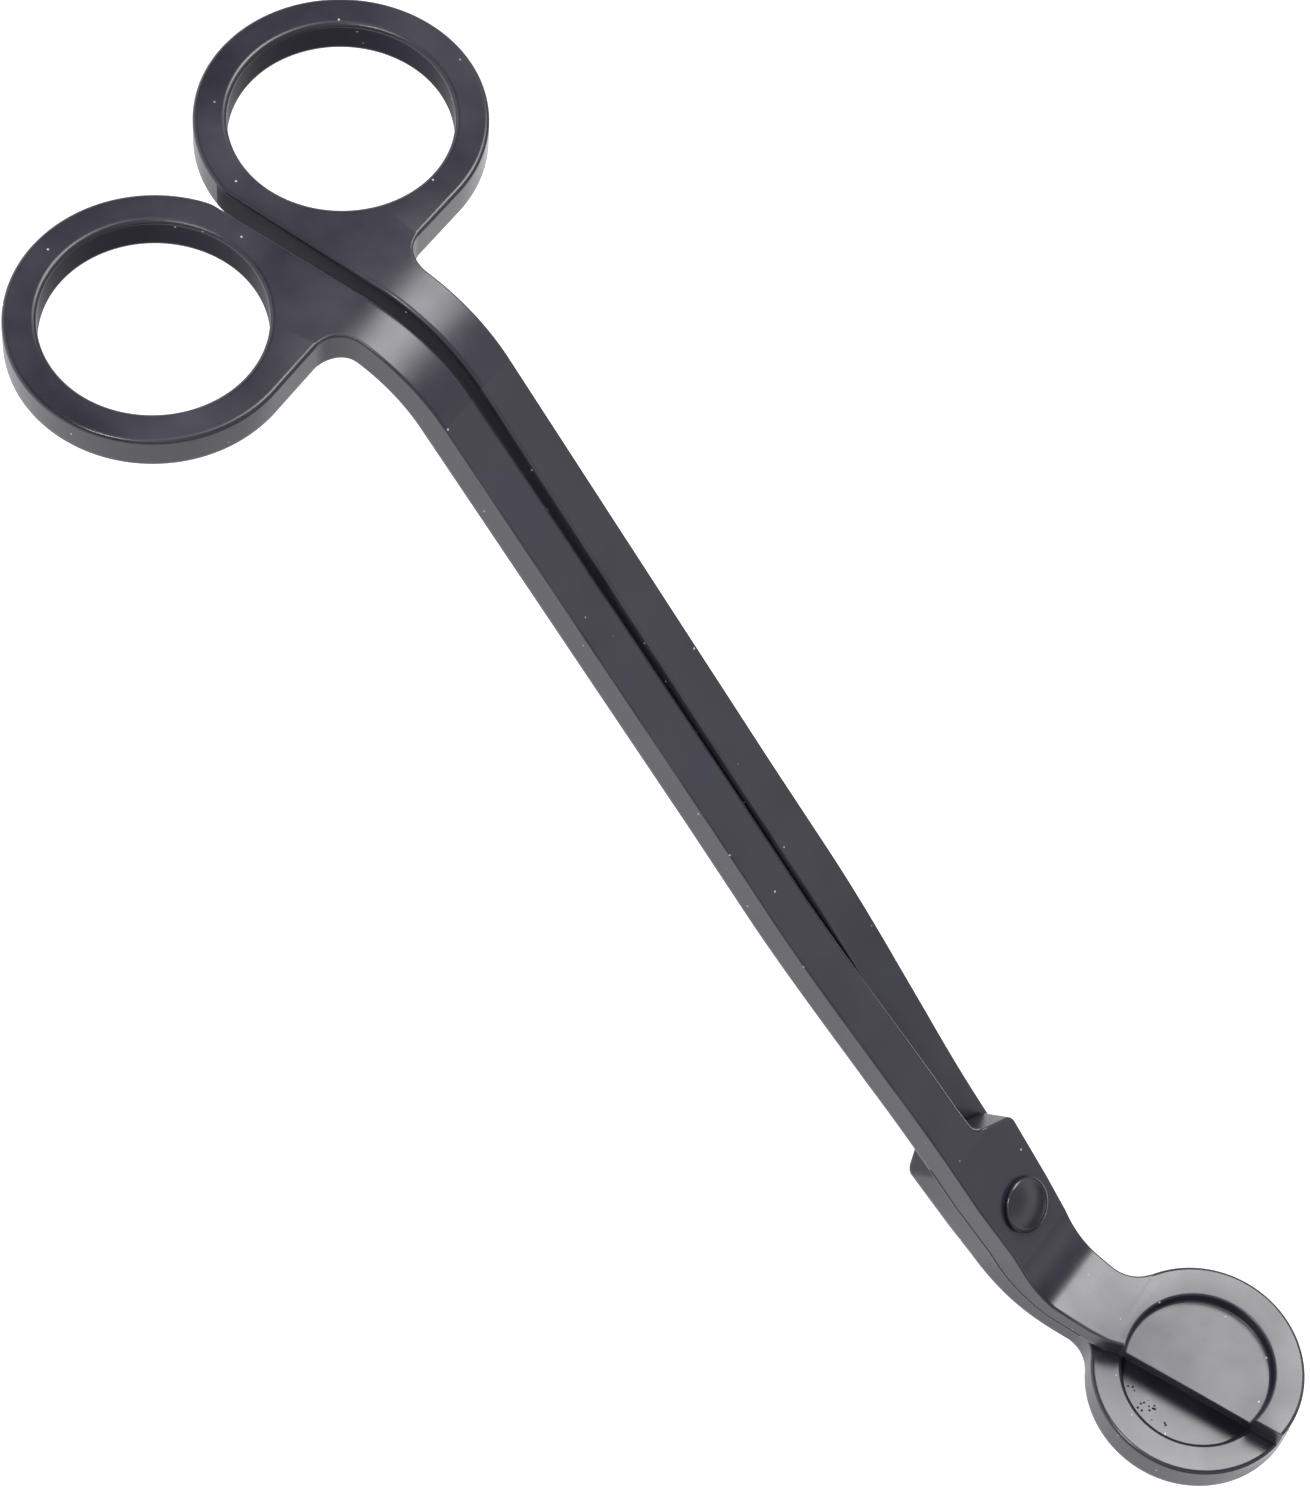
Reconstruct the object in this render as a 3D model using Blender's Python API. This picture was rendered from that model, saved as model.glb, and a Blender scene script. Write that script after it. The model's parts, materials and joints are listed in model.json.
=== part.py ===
"""Wick trimmer: two cranked levers that cross at a rivet.

Each lever is one bar. It is drawn flat, as an outline in plan, and then bent twice:
the finger ring is cranked down and the cutting disc is cranked up. The levers mirror
each other, but the front lever's disc is thinner. Along the handles they lie side by
side. Near the rivet the front lever steps up and the rear lever steps down by half a
thickness, so that they cross.

Plan coordinates are in millimetres: u runs along a lever from the rivet towards the
disc, v runs across it, and w is the height above the plane between the levers.
"""
from math import acos
from math import atan2
from math import ceil
from math import cos
from math import hypot
from math import pi
from math import radians
from math import sin
from math import sqrt

import bmesh
import bpy
from mathutils import Matrix
from mathutils import Vector
from mathutils.geometry import delaunay_2d_cdt

MM = 0.001

# The bar.
THICKNESS = 3.85
FACE_GAP = 0.30
EDGE_ROUND = 0.25
EDGE_STEPS = 2
ARC_STEP = radians(10)

# Finger ring.
RING_U = -135.65
RING_V = -14.46
RING_OUTER = 14.02
RING_HOLE = 10.77
RING_EDGE_ROUND = 0.40
RING_HOLE_ROUND = 0.48
RING_HOLE_SIDES = 56

# Handle shank, between the ring and the rivet.
INNER_EDGE = ((-14.0, -0.20), (-57.0, -0.17), (-95.0, -0.43), (-118.8, -0.66))
INNER_EDGE_END = (-139.1, -0.90)
OUTER_EDGE = ((-118.8, -5.12), (-57.0, -4.90), (-22.0, -5.03), (-4.0, -4.87))
CROTCH_U = -121.7
CROTCH_V = -5.19
CROTCH_FILLET = 2.9

# Boss round the rivet, with the notch that clears the other handle.
NOTCH_INNER = (-10.5, 0.0)
NOTCH_INNER_FILLET = 1.8
NOTCH_OUTER = (-8.27, 4.56)
NOTCH_OUTER_ROUND = 1.2
BOSS_EDGE = ((0.0, 4.18), (5.5, 3.79), (11.5, 3.43))

# Cutting disc: a full circle less the part beyond the straight cutting edge.
DISC_U = 28.45
DISC_V = -0.28
DISC_RADIUS = 10.92
DISC_EDGE_ROUND = 0.38
NECK_V = 3.17
NECK_FILLET = 3.8
CUT_START = (21.0, -3.35)
CUT_SLOPE = 0.115
CUT_EDGE_ROUND = 0.10
NECK_OUTER_EDGE = ((3.0, -4.50), (13.0, -4.58), (17.4, -4.25), (19.6, -3.92))
TRAY_RADIUS = 7.73
TRAY_DEPTH = 1.25
TRAY_DRAFT = 0.10
TRAY_SIDES = 48

# Bends, measured on the plane between the levers.
RING_BEND_U = -108.9
RING_BEND_RADIUS = 14.0
RING_BEND_ANGLE = 0.884
NECK_BEND_U = 4.9
NECK_BEND_RADIUS = 10.5
NECK_BEND_ANGLE = 0.777
BEND_STEP = radians(6.5)

# Step by which the levers pass over each other.
STEP_START_U = -9.5
STEP_END_U = -45.0
STEP_PARTS = 8

# The rear lever's neck is set back a little, so that it clears the bend when it turns.
RELIEF_DEPTH = 0.55
RELIEF_PEAK_U = 11.5
RELIEF_RISE = 7.0
RELIEF_FALL = 13.0
RELIEF_PARTS = 7

# The front lever thins towards the disc, so that its cutting edge lies close over the tray.
BLADE_THINNING = 1.20
THINNING_START_U = 4.0
THINNING_END_U = 15.5

# Rivet.
RIVET_RADIUS = 2.00
RIVET_HOLE_RADIUS = 2.06
RIVET_SIDES = 48
HEAD_RADIUS = 2.90
HEAD_HEIGHT = 0.85
HEAD_RIM = 0.22
TAIL_RADIUS = 2.60
TAIL_HEIGHT = 0.50
TAIL_CHAMFER = 0.30

SMOOTH_ANGLE = radians(28)
BLACK = (0.030, 0.030, 0.036, 1.0)


def arc(centre, radius, start, stop, step=ARC_STEP):
    """Points on an arc from angle start to angle stop, both ends included."""
    parts = max(1, ceil(abs(stop - start) / step))
    angles = [start + (stop - start) * i / parts for i in range(parts + 1)]
    return [(centre[0] + radius * cos(a), centre[1] + radius * sin(a)) for a in angles]


def rounded(before, corner, after, radius):
    """The corner of a path, replaced by an arc that is tangent to both sides."""
    c = Vector(corner)
    to_before = (Vector(before) - c).normalized()
    to_after = (Vector(after) - c).normalized()
    half = acos(to_before.dot(to_after)) / 2
    middle = (to_before + to_after).normalized()
    centre = c + middle * (radius / sin(half))
    first = c + to_before * (radius / (sin(half) / cos(half))) - centre
    last = c + to_after * (radius / (sin(half) / cos(half))) - centre
    start = atan2(first.y, first.x)
    turn = atan2(first.x * last.y - first.y * last.x, first.dot(last))
    return arc(centre, radius, start, start + turn)


def cut_line(u):
    """Height v of the straight cutting edge at u."""
    return CUT_START[1] + CUT_SLOPE * (u - CUT_START[0])


def cut_end_angle():
    """Angle on the disc at which the cutting edge leaves it."""
    offset = (cut_line(DISC_U) - DISC_V) / sqrt(1 + CUT_SLOPE ** 2)
    return atan2(CUT_SLOPE, 1) + atan2(offset, sqrt(DISC_RADIUS ** 2 - offset ** 2))


def neck_fillet():
    """Centre of the arc between the neck's edge and the disc, and its end angle."""
    rise = NECK_V + NECK_FILLET - DISC_V
    run = sqrt((DISC_RADIUS + NECK_FILLET) ** 2 - rise ** 2)
    centre = (DISC_U - run, NECK_V + NECK_FILLET)
    return centre, atan2(rise, -run)


def lever_outline():
    """The front lever in plan, as one loop that runs anticlockwise.

    The second result is the rounding of each side of the loop's edge.
    """
    fillet_centre, meet = neck_fillet()
    ring = (RING_U, RING_V)
    corner_angle = atan2(INNER_EDGE_END[1] - RING_V, INNER_EDGE_END[0] - RING_U)
    pieces = [
        (arc((DISC_U, DISC_V), DISC_RADIUS, cut_end_angle(), meet), DISC_EDGE_ROUND),
        (arc(fillet_centre, NECK_FILLET, meet - pi, -pi / 2)[1:], EDGE_ROUND),
        (list(reversed(BOSS_EDGE)), EDGE_ROUND),
        (rounded(BOSS_EDGE[0], NOTCH_OUTER, NOTCH_INNER, NOTCH_OUTER_ROUND), EDGE_ROUND),
        (rounded(NOTCH_OUTER, NOTCH_INNER, INNER_EDGE[0], NOTCH_INNER_FILLET), EDGE_ROUND),
        (list(INNER_EDGE), EDGE_ROUND),
        (arc(ring, RING_OUTER, corner_angle, 2 * pi), RING_EDGE_ROUND),
        (rounded((CROTCH_U, RING_V), (CROTCH_U, CROTCH_V), OUTER_EDGE[0], CROTCH_FILLET),
         EDGE_ROUND),
        (list(OUTER_EDGE), EDGE_ROUND),
        (list(NECK_OUTER_EDGE), EDGE_ROUND),
        ([CUT_START], CUT_EDGE_ROUND),
    ]
    loop = []
    rounding = []
    for points, radius in pieces:
        loop.extend((p[0], p[1]) for p in points)
        rounding.extend([radius] * len(points))
    rounding[len(pieces[0][0]) - 1] = EDGE_ROUND
    return loop, rounding


def inset(loop, distances):
    """The loop moved inwards, each side by its own distance."""
    moved = []
    count = len(loop)
    for i in range(count):
        here = Vector(loop[i])
        into = (here - Vector(loop[i - 1])).normalized()
        out = (Vector(loop[(i + 1) % count]) - here).normalized()
        n0 = Vector((-into.y, into.x))
        n1 = Vector((-out.y, out.x))
        d0 = distances[i - 1]
        d1 = distances[i]
        cross = n0.x * n1.y - n0.y * n1.x
        if abs(cross) < 0.3:
            shift = (n0 + n1) * ((d0 + d1) / 2 / (1 + n0.dot(n1)))
        else:
            shift = Vector((d0 * n1.y - d1 * n0.y, d1 * n0.x - d0 * n1.x)) / cross
        moved.append((here.x + shift.x, here.y + shift.y))
    return moved


def circle(centre, radius, sides):
    """A closed loop of equal sides."""
    return arc(centre, radius, 0, 2 * pi, 2 * pi / sides)[:-1]


def inside(point, loop):
    """True where the point lies in the loop."""
    hit = False
    for (u0, v0), (u1, v1) in zip(loop, loop[1:] + loop[:1]):
        if (v0 > point[1]) != (v1 > point[1]):
            hit ^= point[0] < u0 + (u1 - u0) * (point[1] - v0) / (v1 - v0)
    return hit


def edge_distance(point, loop, rounding):
    """Distance from the point to the loop, and the rounding of the nearest side."""
    best = (1e9, 0.0)
    for i, (start, stop) in enumerate(zip(loop, loop[1:] + loop[:1])):
        du = stop[0] - start[0]
        dv = stop[1] - start[1]
        along = ((point[0] - start[0]) * du + (point[1] - start[1]) * dv) / (du * du + dv * dv)
        along = min(1.0, max(0.0, along))
        far = hypot(point[0] - start[0] - along * du, point[1] - start[1] - along * dv)
        if far < best[0] - 1e-6:
            best = (far, rounding[i])
    return best


def round_drop(distance, radius):
    """How far a rounded edge has fallen at a distance inside its outline."""
    if distance >= radius:
        return 0.0
    rest = radius - max(distance, 0.0)
    return radius - sqrt(max(radius * radius - rest * rest, 0.0))


def stations():
    """Places along u where the bar needs a row of points so that it can bend."""
    rows = []
    for start, angle, radius in ((NECK_BEND_U, NECK_BEND_ANGLE, NECK_BEND_RADIUS),
                                 (RING_BEND_U, -RING_BEND_ANGLE, RING_BEND_RADIUS)):
        parts = ceil(abs(angle) / BEND_STEP)
        rows += [start + angle * radius * i / parts for i in range(parts + 1)]
    step = (STEP_END_U - STEP_START_U) / STEP_PARTS
    rows += [STEP_START_U + step * i for i in range(STEP_PARTS + 1)]
    fall = RELIEF_FALL / RELIEF_PARTS
    rows += [RELIEF_PEAK_U + fall * (i + 0.5) for i in range(RELIEF_PARTS)]
    return sorted(rows)


def plan_mesh():
    """The lever in plan: points, triangles, and how far each point's edge is rounded."""
    outline, rounding = lever_outline()
    ring = (RING_U, RING_V)
    rivet_hole = circle((0.0, 0.0), RIVET_HOLE_RADIUS, RIVET_SIDES)
    ring_hole = circle(ring, RING_HOLE, RING_HOLE_SIDES)
    loops = [outline, rivet_hole, ring_hole]
    for i in range(1, EDGE_STEPS + 1):
        share = 1 - cos(pi / 2 * i / EDGE_STEPS)
        loops.append(inset(outline, [share * r for r in rounding]))
        loops.append(circle(ring, RING_HOLE + share * RING_HOLE_ROUND, RING_HOLE_SIDES))
    for radius in (TRAY_RADIUS, TRAY_RADIUS - TRAY_DRAFT):
        loops.append(circle((DISC_U, DISC_V), radius, TRAY_SIDES))

    points = []
    sides = []
    for loop in loops:
        first = len(points)
        points += [Vector(p) for p in loop]
        sides += [(first + i, first + (i + 1) % len(loop)) for i in range(len(loop))]
    for u in stations():
        sides.append((len(points), len(points) + 1))
        points += [Vector((u, -40.0)), Vector((u, 20.0))]

    found, _, cells, _, _, _ = delaunay_2d_cdt(points, sides, [], 0, 1e-5)
    places = [(p.x, p.y) for p in found]
    triangles = []
    for cell in cells:
        middle = (sum(places[i][0] for i in cell) / 3, sum(places[i][1] for i in cell) / 3)
        if inside(middle, outline) and not inside(middle, rivet_hole) and not inside(middle, ring_hole):
            triangles.append(tuple(cell))
    used = sorted({i for t in triangles for i in t})
    renumber = {old: new for new, old in enumerate(used)}
    places = [places[i] for i in used]
    triangles = [tuple(renumber[i] for i in t) for t in triangles]

    drops = []
    for place in places:
        distance, radius = edge_distance(place, outline, rounding)
        from_hole = hypot(place[0] - RING_U, place[1] - RING_V) - RING_HOLE
        drops.append(round_drop(distance, radius) + round_drop(from_hole, RING_HOLE_ROUND))
    return places, triangles, drops


def in_tray(place):
    """True on the floor of the disc's round tray."""
    return hypot(place[0] - DISC_U, place[1] - DISC_V) < TRAY_RADIUS - TRAY_DRAFT / 2


def step_share(u):
    """0 near the rivet, where the levers are stacked, and 1 along the handles."""
    s = min(1.0, max(0.0, (u - STEP_START_U) / (STEP_END_U - STEP_START_U)))
    return s * s * (3 - 2 * s)


def relief(u):
    """Depth of the rear lever's set-back neck."""
    reach = RELIEF_RISE if u < RELIEF_PEAK_U else RELIEF_FALL
    s = min(1.0, abs(u - RELIEF_PEAK_U) / reach)
    return RELIEF_DEPTH * cos(pi / 2 * s) ** 2


def thinning(u):
    """How much thinner the front lever is than the bar."""
    s = min(1.0, max(0.0, (u - THINNING_START_U) / (THINNING_END_U - THINNING_START_U)))
    return BLADE_THINNING * s * s * (3 - 2 * s)


def front_faces(u):
    """Heights of the front lever's underside and top."""
    middle = (THICKNESS + FACE_GAP) / 2 * (1 - step_share(u))
    return middle - THICKNESS / 2, middle + THICKNESS / 2 - thinning(u)


def rear_faces(u):
    """Heights of the rear lever's underside and top."""
    middle = -(THICKNESS + FACE_GAP) / 2 * (1 - step_share(u)) - relief(u)
    return middle - THICKNESS / 2, middle + THICKNESS / 2


def bend(u, v, w):
    """A point of the flat bar, carried to its place on the bent bar."""
    side = 1 if u > 0 else -1
    start = NECK_BEND_U if u > 0 else RING_BEND_U
    angle = NECK_BEND_ANGLE if u > 0 else RING_BEND_ANGLE
    radius = NECK_BEND_RADIUS if u > 0 else RING_BEND_RADIUS
    past = side * (u - start)
    if past <= 0:
        return Vector((u, v, w))
    turn = min(past / radius, angle)
    straight = max(past - angle * radius, 0.0)
    x = start + side * (radius * sin(turn) + straight * cos(turn))
    z = side * (radius * (1 - cos(turn)) + straight * sin(turn))
    return Vector((x - w * sin(turn), v, z + w * cos(turn)))


def finish_mesh(name, mesh):
    """Shading for one finished mesh, and the object that shows it."""
    mesh.shade_smooth()
    mesh.set_sharp_from_angle(angle=SMOOTH_ANGLE)
    thing = bpy.data.objects.new(name, mesh)
    bpy.context.scene.collection.objects.link(thing)
    return thing


def lever(name, plan, heights, mirrored):
    """One lever, in the rivet's own frame, as a closed shell over its plan."""
    places, triangles, drops = plan
    count = len(places)
    hand = -1 if mirrored else 1
    vertices = []
    for face in (1, -1):
        for (u, v), drop in zip(places, drops):
            underside, top = heights(u)
            tray = TRAY_DEPTH if in_tray((u, v)) else 0.0
            w = top - drop - tray if face == 1 else underside + drop
            vertices.append(bend(u, hand * v, w) * MM)
    faces = list(triangles) + [(c + count, b + count, a + count) for a, b, c in triangles]
    edges = {(t[i], t[(i + 1) % 3]) for t in triangles for i in range(3)}
    for a, b in sorted(edges):
        if (b, a) not in edges:
            faces.append((a + count, b + count, b, a))
    if mirrored:
        faces = [tuple(reversed(face)) for face in faces]
    mesh = bpy.data.meshes.new(name)
    mesh.from_pydata(vertices, [], faces)
    return finish_mesh(name, mesh)


def rivet_profile():
    """Radius and height of the rivet, from the top of its head to its tail."""
    top = THICKNESS + 1.5 * FACE_GAP
    rise = HEAD_HEIGHT - HEAD_RIM
    dome = (HEAD_RADIUS ** 2 + rise ** 2) / (2 * rise)
    edge = atan2(HEAD_RADIUS, dome - rise)
    profile = [(dome * sin(edge * i / 5), top + HEAD_HEIGHT - dome * (1 - cos(edge * i / 5)))
               for i in range(6)]
    profile += [(HEAD_RADIUS, top), (RIVET_RADIUS, top), (RIVET_RADIUS, -top)]
    profile += [(TAIL_RADIUS, -top), (TAIL_RADIUS, -top - TAIL_HEIGHT + TAIL_CHAMFER)]
    profile += [(TAIL_RADIUS - TAIL_CHAMFER, -top - TAIL_HEIGHT), (0.0, -top - TAIL_HEIGHT)]
    return profile


def rivet(name):
    """The rivet: a turned piece on the axis that the levers share."""
    shape = bmesh.new()
    points = [shape.verts.new((r * MM, 0.0, w * MM)) for r, w in rivet_profile()]
    sides = [shape.edges.new(pair) for pair in zip(points, points[1:])]
    bmesh.ops.spin(shape, geom=points + sides, cent=(0, 0, 0), axis=(0, 0, 1), angle=2 * pi,
                   steps=RIVET_SIDES, use_merge=True, use_duplicate=False)
    bmesh.ops.remove_doubles(shape, verts=shape.verts, dist=1e-7)
    bmesh.ops.recalc_face_normals(shape, faces=shape.faces)
    mesh = bpy.data.meshes.new(name)
    shape.to_mesh(mesh)
    shape.free()
    return finish_mesh(name, mesh)


def satin_black():
    """Black coating over steel."""
    coating = bpy.data.materials.new("satin_black")
    coating.use_nodes = True
    shader = coating.node_tree.nodes["Principled BSDF"]
    shader.inputs["Base Color"].default_value = BLACK
    shader.inputs["Metallic"].default_value = 0.4
    shader.inputs["Roughness"].default_value = 0.38
    coating.diffuse_color = BLACK
    return coating


def resting_tilt(things):
    """Angle about Y at which the rings and the neck touch one level surface."""
    points = [v.co for thing in things for v in thing.data.vertices]
    ring_end = [p for p in points if p.x < 0]
    disc_end = [p for p in points if p.x > 0]
    low = 0.0
    high = radians(30)
    for _ in range(60):
        tilt = (low + high) / 2
        ring_low = min(p.z * cos(tilt) - p.x * sin(tilt) for p in ring_end)
        disc_low = min(p.z * cos(tilt) - p.x * sin(tilt) for p in disc_end)
        if ring_low < disc_low:
            low = tilt
        else:
            high = tilt
    return tilt


def stand(things):
    """Puts the trimmer on the ground, over the origin."""
    turn = Matrix.Rotation(resting_tilt(things), 3, "Y")
    points = [turn @ v.co for thing in things for v in thing.data.vertices]
    middle_x = (min(p.x for p in points) + max(p.x for p in points)) / 2
    middle_y = (min(p.y for p in points) + max(p.y for p in points)) / 2
    lowest = min(p.z for p in points)
    for thing in things:
        thing.rotation_euler = turn.to_euler()
        thing.location = (-middle_x, -middle_y, -lowest)


def build():
    """Clears the scene and makes the trimmer."""
    for thing in list(bpy.data.objects):
        bpy.data.objects.remove(thing, do_unlink=True)
    plan = plan_mesh()
    things = [
        lever("front_lever", plan, front_faces, False),
        lever("rear_lever", plan, rear_faces, True),
        rivet("pivot_rivet"),
    ]
    coating = satin_black()
    for thing in things:
        thing.data.materials.append(coating)
    stand(things)


build()
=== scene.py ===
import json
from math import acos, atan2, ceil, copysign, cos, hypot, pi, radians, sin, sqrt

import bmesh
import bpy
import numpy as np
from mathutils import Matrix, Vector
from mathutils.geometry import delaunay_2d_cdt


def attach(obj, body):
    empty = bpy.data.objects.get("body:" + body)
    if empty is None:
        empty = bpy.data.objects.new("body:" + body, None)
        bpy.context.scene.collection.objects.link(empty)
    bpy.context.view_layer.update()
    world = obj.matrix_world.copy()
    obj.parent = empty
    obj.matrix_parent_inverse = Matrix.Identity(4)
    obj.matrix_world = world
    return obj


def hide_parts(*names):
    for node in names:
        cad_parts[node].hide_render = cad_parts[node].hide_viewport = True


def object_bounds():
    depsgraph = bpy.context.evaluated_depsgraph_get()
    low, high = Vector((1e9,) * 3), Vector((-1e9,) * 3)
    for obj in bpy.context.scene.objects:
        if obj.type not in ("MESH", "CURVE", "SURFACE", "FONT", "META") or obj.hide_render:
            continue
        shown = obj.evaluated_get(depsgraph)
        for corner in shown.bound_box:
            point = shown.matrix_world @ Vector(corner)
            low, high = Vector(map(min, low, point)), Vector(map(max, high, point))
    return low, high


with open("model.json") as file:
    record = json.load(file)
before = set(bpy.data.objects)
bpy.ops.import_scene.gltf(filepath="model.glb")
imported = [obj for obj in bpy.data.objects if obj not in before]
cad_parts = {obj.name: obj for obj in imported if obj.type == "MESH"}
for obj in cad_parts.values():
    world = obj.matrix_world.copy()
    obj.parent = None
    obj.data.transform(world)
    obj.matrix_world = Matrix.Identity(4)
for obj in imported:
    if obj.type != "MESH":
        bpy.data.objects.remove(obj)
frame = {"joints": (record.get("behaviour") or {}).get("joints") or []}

# The looks of the wick trimmer: two satin black cranked levers on a domed rivet, lying on
# a white sweep. The surroundings are bright in one band, and there are two soft lights.
#
# Both levers are made again here with fine rounded edges, over the CAD levers. They use
# the same plan and the same bends: u runs along a lever from the rivet towards the disc,
# v runs across it, and w is the height above the plane between the levers, all in
# millimetres. Angles are in radians, apart from the lights' own. The rivet's axis and
# place come from the record's hinge.

MM = 0.001
CAD_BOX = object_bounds()
HINGE = frame["joints"][0]

# The bar.
THICKNESS = 3.85
FACE_GAP = 0.30
EDGE_ROUND = 0.25
INNER_EDGE_ROUND = 0.48
EDGE_STEPS = 5
EDGE_SUPPORT = 0.05
ARC_STEP = radians(2.5)
CORNER_STEP = 3 * ARC_STEP
SMOOTH_ANGLE = radians(32)

# Where two sides meet at less than this, as a sine, an inset treats them as straight on.
NEARLY_STRAIGHT = 0.3
# Of two sides at almost the same distance, the first one counts as the nearest.
TIE_MARGIN = 1e-6
# Points of the plan that are closer than this are one point.
SAME_POINT = 1e-5
# The whole plan lies between these two values of v.
PLAN_REACH = (-40.0, 20.0)
# Wear fades out this many edge roundings in from the outline.
WEAR_REACH = 1.5

# Finger ring.
RING_U = -135.65
RING_V = -14.46
RING_OUTER = 14.02
RING_HOLE = 10.77
RING_EDGE_ROUND = 0.40
RING_HOLE_ROUND = 0.48
RING_HOLE_SIDES = 144

# Handle shank, between the ring and the rivet.
INNER_EDGE = ((-14.0, -0.20), (-57.0, -0.17), (-95.0, -0.43), (-118.8, -0.66))
INNER_EDGE_END = (-139.1, -0.90)
OUTER_EDGE = ((-118.8, -5.12), (-57.0, -4.90), (-22.0, -5.03), (-4.0, -4.87))
CROTCH_U = -121.7
CROTCH_V = -5.19
CROTCH_FILLET = 2.9

# Boss round the rivet, with the notch that clears the other handle.
NOTCH_INNER = (-10.5, 0.0)
NOTCH_INNER_FILLET = 1.8
NOTCH_OUTER = (-8.27, 4.56)
NOTCH_OUTER_ROUND = 1.2
BOSS_EDGE = ((0.0, 4.18), (5.5, 3.79), (11.5, 3.43))

# Cutting disc: a full circle less the part beyond the straight cutting edge.
DISC_U = 28.45
DISC_V = -0.28
DISC_RADIUS = 10.92
DISC_EDGE_ROUND = 0.38
NECK_V = 3.17
NECK_FILLET = 3.8
CUT_START = (21.0, -3.35)
CUT_SLOPE = 0.115
CUT_EDGE_ROUND = 0.10
NECK_OUTER_EDGE = ((3.0, -4.50), (13.0, -4.58), (17.4, -4.25), (19.6, -3.92))
TRAY_RADIUS = 7.73
TRAY_DEPTH = 1.25
TRAY_DRAFT = 0.10
TRAY_LIP = 0.24
TRAY_COVE = 0.22
TRAY_SIDES = 180
TRAY_ARC_PARTS = 4
# Width of the strip beside the lip that gets painted shade, as the tray's wall does.
TRAY_LINE = 0.12
# Places u, v and sizes of the pitted spots on the rear tray's floor.
PIT_SPOTS = ((22.9, 4.1, 1.3), (23.9, 4.8, 0.9), (26.6, 5.9, 1.2), (28.9, 5.8, 0.5))

# Bends, measured on the plane between the levers.
RING_BEND_U = -108.9
RING_BEND_RADIUS = 14.0
RING_BEND_ANGLE = 0.884
NECK_BEND_U = 4.9
NECK_BEND_RADIUS = 10.5
NECK_BEND_ANGLE = 0.777
BEND_STEP = radians(1.6)
BEND_SUPPORT = 0.20

# Step by which the levers pass over each other.
STEP_START_U = -9.5
STEP_END_U = -45.0
STEP_PARTS = 24

# The rear lever's set-back neck.
RELIEF_DEPTH = 0.55
RELIEF_PEAK_U = 11.5
RELIEF_RISE = 7.0
RELIEF_FALL = 13.0
RELIEF_PARTS = 16

# The front lever thins towards the disc, so that its cutting edge lies close over the tray.
BLADE_THINNING = 1.20
THINNING_START_U = 4.0
THINNING_END_U = 15.5

# Walls with painted shade (a copy of the coating that barely shines): past the v below between
# the handles, and a low seam at the rivet.
PAINTED_SHADE_V = -1.3
SEAM_HEIGHT = 0.32
SEAM_START_U = -9.0
SEAM_END_U = 17.0

# Rows of points down a lever's walls: the face each hangs from, 1 for the top and -1 for
# the underside, and how far it is from that face.
WALL_ROWS = ((1, 0.0), (1, EDGE_SUPPORT), (-1, SEAM_HEIGHT), (-1, 0.0))

# Rivet. The head's dome would reach HEAD_RADIUS at HEAD_RIM above the head's underside. A
# shoulder takes over at a radius near HEAD_CROWN, and ends HEAD_SIDE above the underside.
RIVET_RADIUS = 2.00
RIVET_HOLE_RADIUS = 2.06
RIVET_SIDES = 96
HEAD_RADIUS = 2.90
HEAD_HEIGHT = 0.85
HEAD_RIM = 0.22
HEAD_CROWN = 2.30
HEAD_SIDE = 0.10
CROWN_PARTS = 24
SHOULDER_PARTS = 12
TAIL_RADIUS = 2.60
TAIL_HEIGHT = 0.50
TAIL_CHAMFER = 0.30
UNDER_CHAMFER = 0.04
WELD_DISTANCE = 1e-7

# Coatings, as linear colours.
COATING_IOR = 1.5
LEVER_DARK = (0.010, 0.009, 0.016, 1.0)
LEVER_LIGHT = (0.021, 0.020, 0.032, 1.0)
LEVER_ROUGHNESS = 0.30
# Painted shade: a copy of the lever's coating that reflects little, for walls where shade falls.
PAINTED_SHADE_ROUGHNESS = 0.40
PAINTED_SHADE_SPECULAR = 0.04
RIVET_DARK = (0.018, 0.018, 0.024, 1.0)
RIVET_LIGHT = (0.022, 0.022, 0.028, 1.0)
RIVET_ROUGHNESS = 0.18
USUAL_SPECULAR = 0.5

# Noises in the coatings: features per metre, and steps of detail.
SMEARS = (90.0, 4.0)
SWELL = (140.0, 1.0)
GRAIN = (3200.0, 2.0)
NOISE_ROUGHNESS = 0.55
# The stretch of a noise's values that holds most of its change.
NOISE_RANGE = (0.3, 0.7)

# How far the smears take the roughness down and up, and how far a worn edge takes it down.
SMEAR_POLISH = 0.06
SMEAR_HAZE = 0.10
WEAR_POLISH = 0.14
# The most of the worn colour that shows on an edge.
WEAR_MOST = 0.30
WEAR_COLOUR = (0.085, 0.085, 0.095, 1.0)

# Dust and pits lie on random dots: how many to a metre, and the distances from a dot, in
# spacings, over which a speck fades out and a pit rises to the tray's floor.
DUST_SCALE = 430.0
DUST_RANGE = (0.035, 0.055)
DUST_COLOUR = (0.42, 0.42, 0.44, 1.0)
PIT_SCALE = 2000.0
PIT_RANGE = (0.0, 0.24)
# The share of a pitted spot's size inside which its pits have their full depth.
PIT_CORE = 0.5

# Strength and distance, in metres, of each bump.
PIT_BUMP = (1.0, 0.0006)
SWELL_BUMP = (0.32, 0.00008)
GRAIN_BUMP = (0.20, 0.000012)

# The surroundings: the sine of the height above the horizon, and the colour there.
SKY = (
    (0.22, (0.02, 0.02, 0.022, 1.0)),
    (0.38, (0.18, 0.18, 0.1854, 1.0)),
    (0.58, (1.12, 1.12, 1.1536, 1.0)),
    (0.74, (1.12, 1.12, 1.1536, 1.0)),
    (0.86, (0.45, 0.45, 0.4635, 1.0)),
    (1.0, (0.22, 0.22, 0.23, 1.0)),
)

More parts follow.
